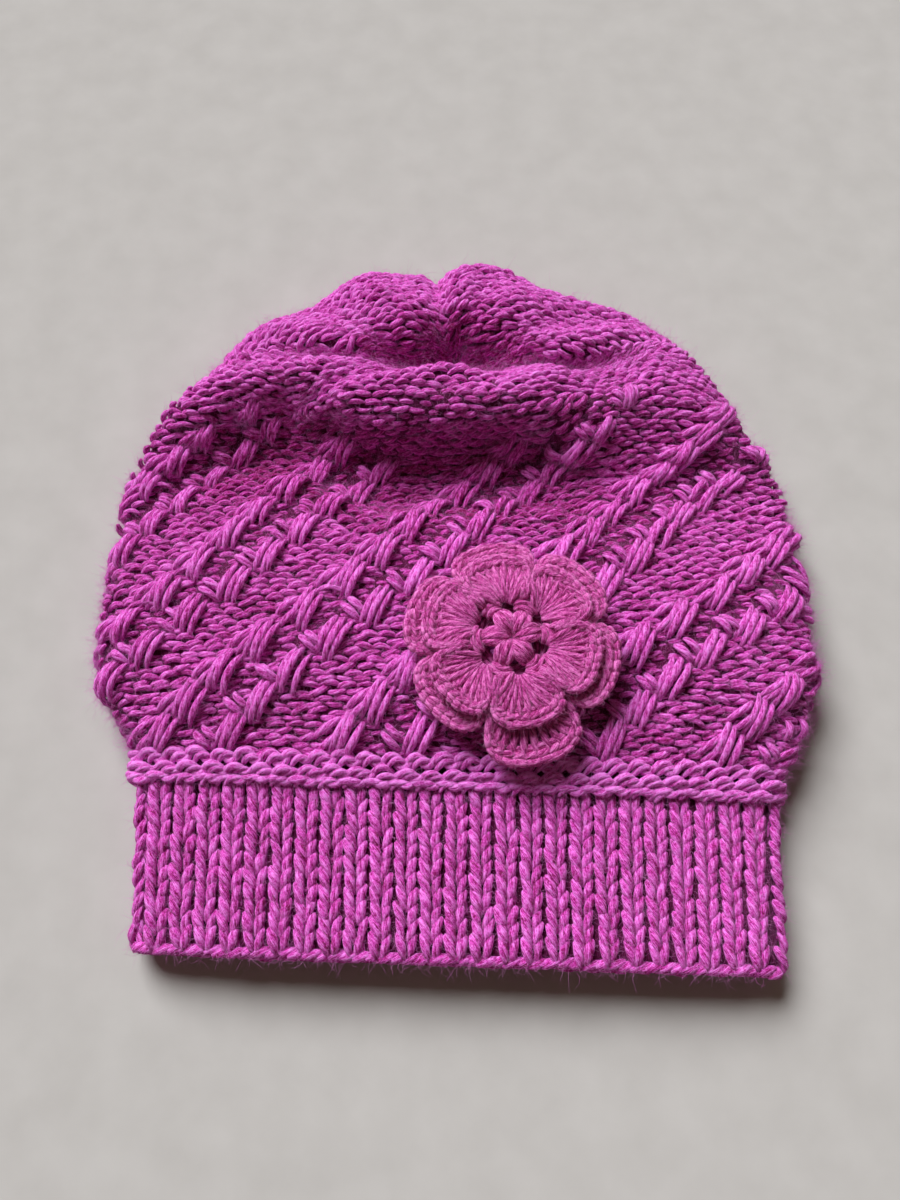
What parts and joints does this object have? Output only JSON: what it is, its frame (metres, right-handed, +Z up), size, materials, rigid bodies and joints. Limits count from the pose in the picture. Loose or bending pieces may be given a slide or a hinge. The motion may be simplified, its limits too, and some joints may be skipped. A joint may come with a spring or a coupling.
{
  "type": "knitted slouchy beanie with crocheted flower",
  "caption": "Hand-knitted slouchy beanie lying flat: ribbed brim, purl welt, body with spiral double ropes, gathered crown and a two-layer crocheted flower sewn to the front.",
  "frame": {"origin": "middle of the underside of the hat as it lies flat on a table", "axes": "+Z up through the front face of the lying hat, +Y from the brim's mouth to the crown, +X to the right seen from the front"},
  "size_m": [0.2608, 0.2702, 0.0397],
  "materials": {
    "magenta_knit": "hand-knitted heathered wool-blend yarn, fuzzy, matt",
    "rose_crochet": "crocheted wool-blend yarn, slightly redder, matt"
  },
  "bodies": {
    "root": {"rib_brim": "magenta_knit", "purl_welt": "magenta_knit", "spiral_body": "magenta_knit", "crown_top": "magenta_knit", "gather_yarn": "magenta_knit", "flower_back_ring": "rose_crochet", "flower_centre": "rose_crochet", "flower_back_petal_1": "rose_crochet", "flower_back_petal_2": "rose_crochet", "flower_back_petal_3": "rose_crochet", "flower_back_petal_4": "rose_crochet", "flower_back_petal_5": "rose_crochet", "flower_back_petal_6": "rose_crochet", "flower_front_petal_1": "rose_crochet", "flower_front_petal_2": "rose_crochet", "flower_front_petal_3": "rose_crochet", "flower_front_petal_4": "rose_crochet", "flower_front_petal_5": "rose_crochet", "flower_front_petal_6": "rose_crochet", "sewing_stitch_1": "rose_crochet", "sewing_stitch_2": "rose_crochet", "sewing_stitch_3": "rose_crochet", "sewing_stitch_4": "rose_crochet", "sewing_stitch_5": "rose_crochet", "sewing_stitch_6": "rose_crochet"}
  },
  "joints": []
}
